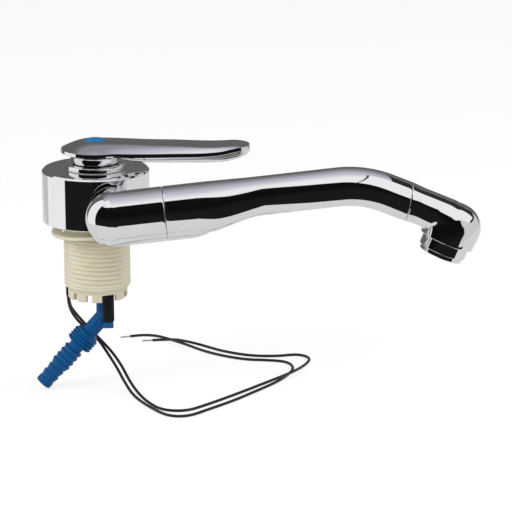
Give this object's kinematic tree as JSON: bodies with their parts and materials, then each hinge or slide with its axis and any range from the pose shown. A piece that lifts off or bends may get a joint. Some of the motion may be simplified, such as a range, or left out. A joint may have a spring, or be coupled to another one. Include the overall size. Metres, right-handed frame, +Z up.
{
  "type": "folding cold water tap",
  "caption": "Chromed cold water tap with a folding swivel spout, a single lever, a threaded shank, a barbed hose connector and switch wires.",
  "frame": {"origin": "on the shank's axis at the underside of the base flange, which is the worktop's surface", "axes": "+Z up along the shank's axis, +X the way the lever and the stowed spout point, -Y the side with the spout"},
  "size_m": [0.2513, 0.17, 0.1501],
  "materials": {
    "chrome": "polished chromed brass",
    "nylon": "moulded off-white nylon",
    "seal": "soft grey-beige rubber",
    "acetal": "moulded white acetal",
    "ceramic": "lapped ceramic",
    "black_rubber": "black rubber",
    "steel": "turned stainless steel",
    "brass": "turned brass",
    "blue": "moulded blue plastic, slightly glossy",
    "cap_blue": "glossy blue plastic",
    "black_plastic": "black plastic",
    "wire": "black PVC insulation",
    "tinned": "tinned copper strands"
  },
  "bodies": {
    "base": {"threaded_shank": "nylon", "base_seal": "seal", "valve_column": "acetal", "column_screws": "steel", "column_seals": "black_rubber", "cartridge_case": "acetal", "fixed_disc": "ceramic", "switch_case": "black_plastic", "switch_leads": "wire", "wire_grommet": "black_rubber", "cold_inlet_tube": "brass", "spare_inlet_tube": "brass", "blanking_sleeve": "black_rubber", "connector_seal": "black_rubber", "hose_connector": "blue", "collar_nut": "chrome", "switch_wire_a": "wire", "switch_wire_b": "wire", "wire_tip_a": "tinned", "wire_tip_b": "tinned"},
    "swivel": {"body_shell": "chrome", "pivot_washer": "acetal", "pivot_seals": "black_rubber", "pivot_clip": "steel"},
    "spout": {"spout_elbow": "chrome", "root_sleeve": "acetal", "spout_tube": "chrome", "tip_sleeve": "acetal", "spout_nozzle": "chrome", "water_pipe": "acetal", "aerator_ring": "chrome", "aerator_insert": "acetal", "aerator_gasket": "black_rubber", "aerator_screen": "steel"},
    "lever": {"lever_handle": "chrome", "lever_ball": "chrome", "lever_spindle": "steel", "handle_screw": "steel", "index_cap": "cap_blue"},
    "valve": {"disc_carrier": "acetal", "moving_disc": "ceramic"},
    "plunger": {"switch_plunger": "acetal"}
  },
  "joints": [
    {"name": "body_swivel", "type": "hinge", "parent": "base", "child": "swivel", "pos_m": [0, 0, 0], "axis": [0, 0, 1], "range_deg": [-150, 25]},
    {"name": "spout_fold", "type": "hinge", "parent": "swivel", "child": "spout", "pos_m": [0.0077, -0.056, 0.01505], "axis": [0, -1, 0], "range_deg": [0, 90]},
    {"name": "lever_lift", "type": "hinge", "parent": "base", "child": "lever", "pos_m": [0, 0, 0.0395], "axis": [0, -1, 0], "range_deg": [0, 20]},
    {"name": "disc_slide", "type": "slide", "parent": "base", "child": "valve", "axis": [1, 0, 0], "range_m": [0, 0.0052]},
    {"name": "plunger_slide", "type": "slide", "parent": "base", "child": "plunger", "axis": [1, 0, 0], "range_m": [0, 0.0021]}
  ],
  "couplings": [
    {"joint": "disc_slide", "follows": "lever_lift", "m_per_rad": 0.0145},
    {"joint": "plunger_slide", "follows": "lever_lift", "m_per_rad": 0.0057}
  ]
}
